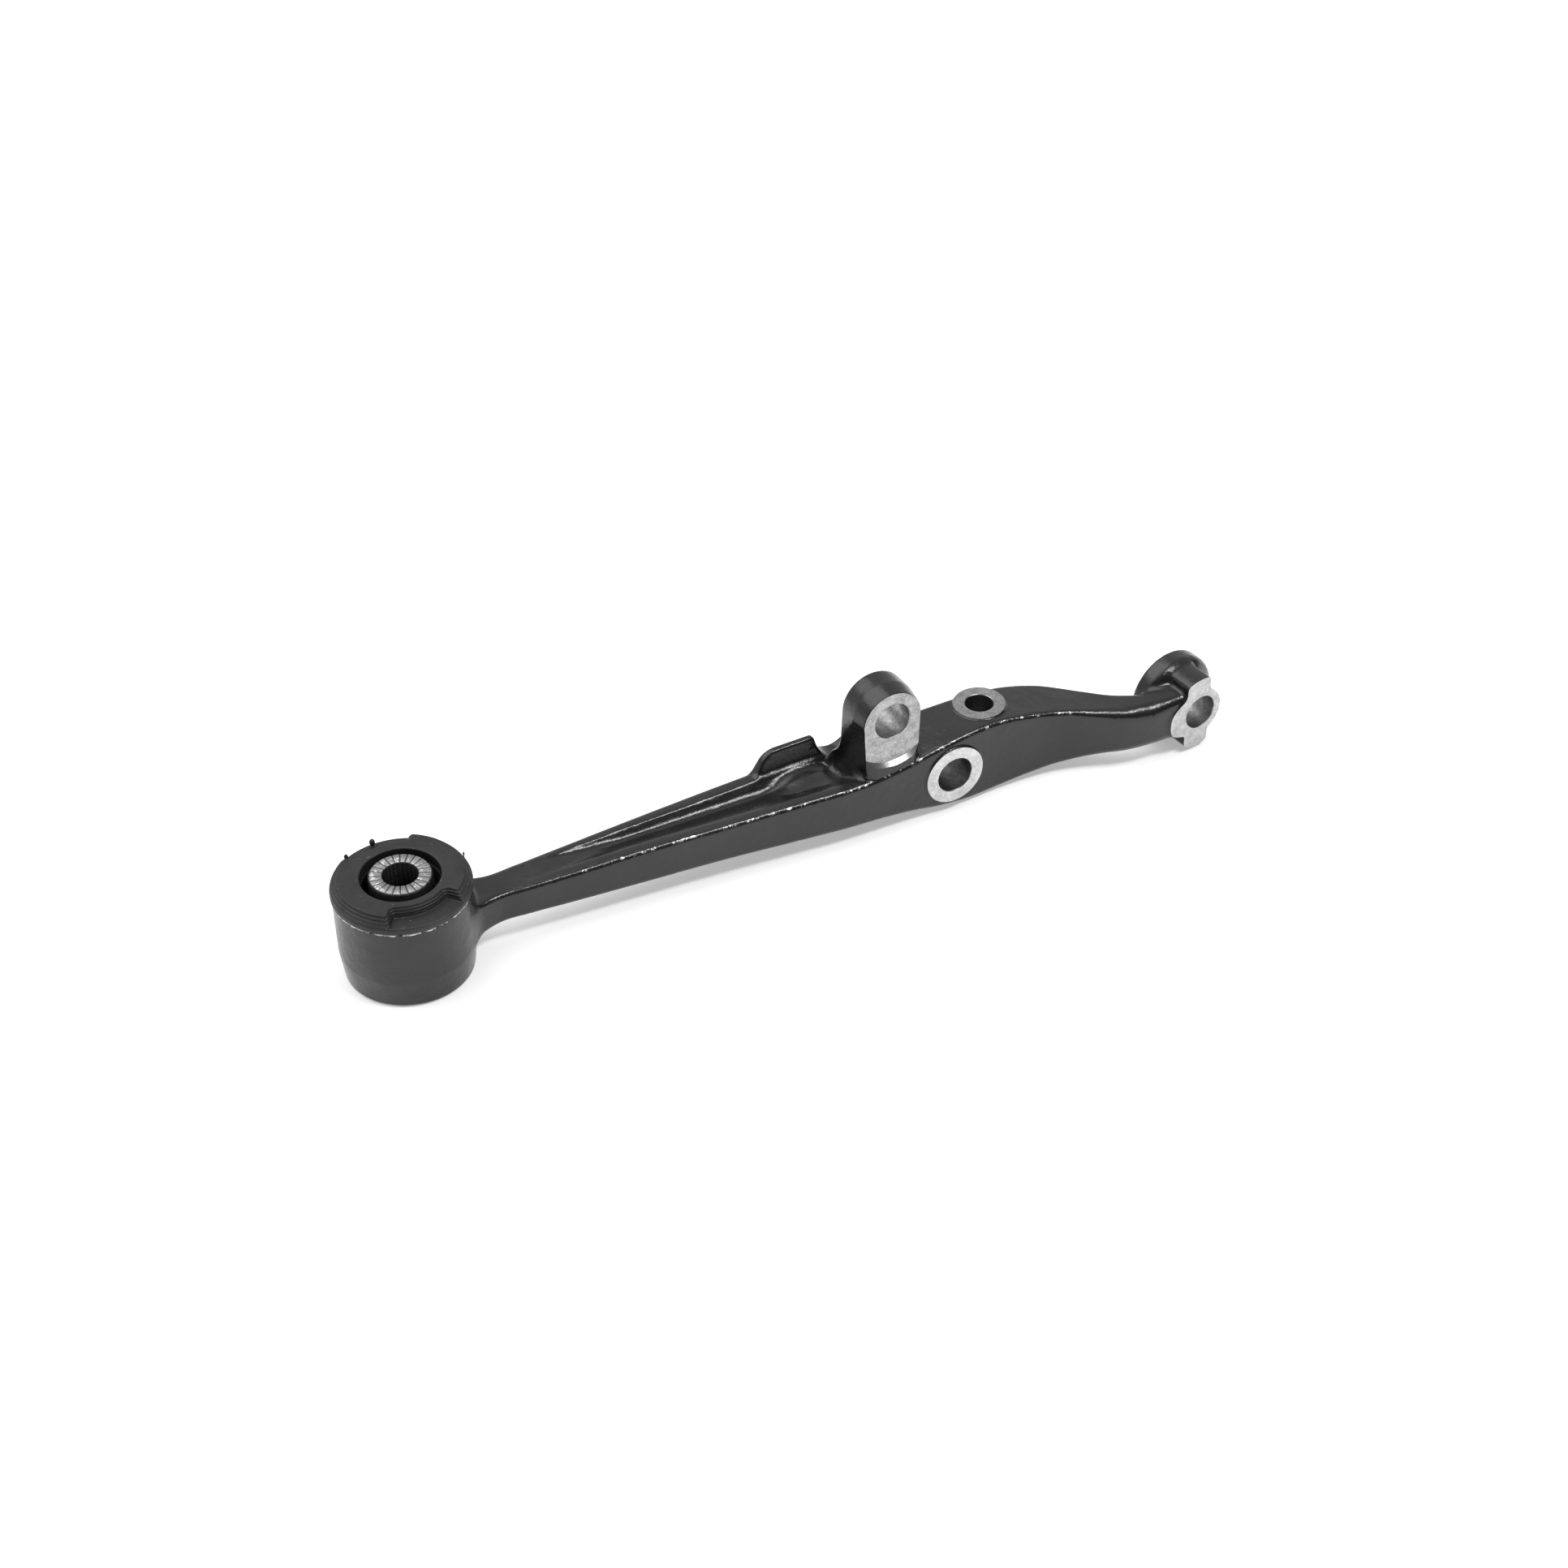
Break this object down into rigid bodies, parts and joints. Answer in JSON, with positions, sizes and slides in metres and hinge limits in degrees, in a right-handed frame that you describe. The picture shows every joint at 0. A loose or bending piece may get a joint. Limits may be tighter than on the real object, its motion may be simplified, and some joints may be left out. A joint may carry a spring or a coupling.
{
  "type": "suspension control arm",
  "caption": "Forged lateral lower control arm: rubber bush at one end, tapered ball-joint eye at the other, with an upright ear and bolt bosses between.",
  "frame": {"origin": "centre of the arm's bounding box at the surface it rests on", "axes": "+Z is the bush axis, +X runs along the arm from the bush to the ball-joint eye, -Y is the side with the machined bolt faces"},
  "size_m": [0.4, 0.0692, 0.0702],
  "materials": {
    "black_paint": "glossy black dip paint over a forged skin, with bare machined faces",
    "coated_steel": "dark phosphate coating, satin",
    "bush_rubber": "moulded natural rubber, matte",
    "zinc_steel": "zinc plated, with serrated end faces"
  },
  "bodies": {
    "inner_sleeve": {"bush_inner_sleeve": "zinc_steel"},
    "arm": {"arm_forging": "black_paint", "bush_outer_shell": "coated_steel", "bush_rubber_core": "bush_rubber", "bush_stop_flange": "bush_rubber"}
  },
  "joints": [
    {"name": "bush_twist", "type": "hinge", "parent": "inner_sleeve", "child": "arm", "pos_m": [-0.17184, 0.00639, 0.02345], "axis": [0, 0, 1], "range_deg": [-18, 18], "stiffness_Nm_per_rad": 40}
  ]
}
